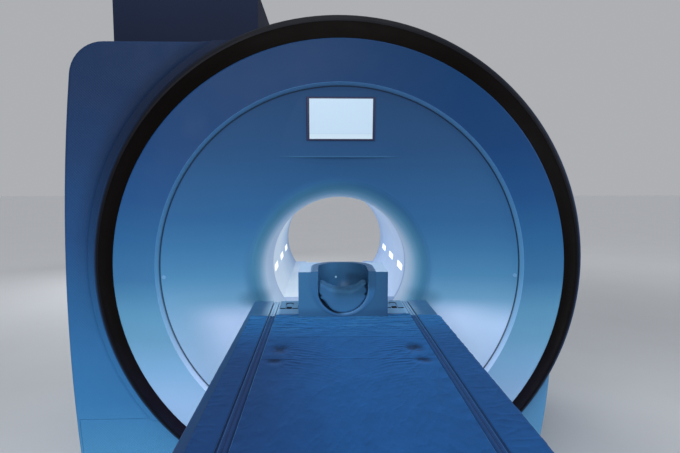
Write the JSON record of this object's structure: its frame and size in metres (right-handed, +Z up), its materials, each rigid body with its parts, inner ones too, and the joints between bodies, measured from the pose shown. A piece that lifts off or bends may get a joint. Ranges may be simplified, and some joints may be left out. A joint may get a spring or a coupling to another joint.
{
  "type": "magnetic resonance scanner",
  "caption": "Round-fronted magnetic resonance scanner with an offset tower, a flared patient bore, a display over it and a docked lifting table with a sliding cradle and head coil.",
  "frame": {"origin": "on the floor, straight below the centre of the magnet, in the underside of the floor frame", "axes": "+X to the right as the patient end is faced, +Y along the bore from the patient end to the rear, +Z up"},
  "size_m": [2.543, 3.887, 2.54],
  "materials": {
    "frame_steel": "matt grey paint",
    "vessel_steel": "satin",
    "cold_mass": "bare",
    "coil_resin": "cast resin over windings",
    "coil_tube": "bare laminate",
    "liner_white": "satin white in blue light",
    "window_light": "lit diffuser",
    "panel_white": "satin moulded panel in blue light",
    "cover_paint": "fine-grained moulded cover in blue light",
    "dark_ring": "satin near-black",
    "display_frame": "dark frame",
    "display_face": "lit blank display",
    "cap_grey": "satin",
    "table_paint": "satin",
    "bright_steel": "ground",
    "frame_aluminium": "mill finish",
    "table_plastic": "satin moulding in blue light",
    "rail_plastic": "satin strip",
    "runner_plastic": "black",
    "socket_black": "black",
    "sheet_fabric": "thin wrinkled nonwoven sheet",
    "mattress_cover": "smooth coated fabric",
    "coil_plastic": "satin",
    "coil_gloss": "glossy",
    "pad_cover": "coated foam"
  },
  "bodies": {
    "gantry": {"floor_frame": "frame_steel", "magnet_feet": "frame_steel", "magnet_vessel": "vessel_steel", "helium_vessel": "cold_mass", "gradient_coil": "coil_resin", "rf_body_coil": "coil_tube", "bore_liner": "liner_white", "bore_lights": "window_light", "left_bore_rail": "liner_white", "right_bore_rail": "liner_white", "front_shell": "cover_paint", "trim_ring": "dark_ring", "front_disc": "panel_white", "funnel_panel": "panel_white", "display_bezel": "display_frame", "display_glass": "display_face", "panel_caps": "cap_grey", "tower_cover": "cover_paint", "lower_left_panel": "cover_paint", "lower_right_cover": "cover_paint", "left_side_cover": "cover_paint", "right_side_cover": "cover_paint", "rear_cover": "cover_paint", "rear_funnel": "panel_white", "cold_head": "vessel_steel", "vent_shroud": "cover_paint", "table_floor_plate": "frame_steel", "lower_sleeve": "table_paint", "lift_screw": "bright_steel"},
    "middle_sleeve": {"middle_sleeve": "table_paint"},
    "table": {"upper_sleeve": "table_paint", "lift_tube": "bright_steel", "table_frame": "frame_aluminium", "table_fairing": "table_plastic", "left_board": "table_plastic", "right_board": "table_plastic", "left_guide_rail": "rail_plastic", "right_guide_rail": "rail_plastic", "left_board_sheet": "sheet_fabric", "right_board_sheet": "sheet_fabric"},
    "cradle": {"cradle": "table_plastic", "cradle_runners": "runner_plastic", "coil_sockets": "socket_black", "mattress": "mattress_cover", "cradle_sheet": "sheet_fabric", "head_coil_base": "coil_plastic", "head_coil_bowl": "coil_gloss", "head_pad": "pad_cover"},
    "left_lid": {"left_socket_lid": "table_plastic"},
    "right_lid": {"right_socket_lid": "table_plastic"},
    "release_handle": {"release_handle": "runner_plastic"}
  },
  "joints": [
    {"name": "table_lift", "type": "slide", "parent": "gantry", "child": "table", "axis": [0, 0, 1], "range_m": [-0.3, 0]},
    {"name": "sleeve_follow", "type": "slide", "parent": "gantry", "child": "middle_sleeve", "axis": [0, 0, 1], "range_m": [-0.15, 0]},
    {"name": "cradle_slide", "type": "slide", "parent": "table", "child": "cradle", "axis": [0, 1, 0], "range_m": [0, 1.6]},
    {"name": "left_lid_hinge", "type": "hinge", "parent": "cradle", "child": "left_lid", "pos_m": [-0.24, -0.9, 0.9585], "axis": [-1, 0, 0], "range_deg": [0, 100]},
    {"name": "right_lid_hinge", "type": "hinge", "parent": "cradle", "child": "right_lid", "pos_m": [0.24, -0.9, 0.9585], "axis": [-1, 0, 0], "range_deg": [0, 100]},
    {"name": "release_turn", "type": "hinge", "parent": "cradle", "child": "release_handle", "pos_m": [0, -3.099, 0.941], "axis": [-1, 0, 0], "range_deg": [0, 35]}
  ],
  "couplings": [
    {"joint": "sleeve_follow", "follows": "table_lift", "ratio": 0.5}
  ]
}
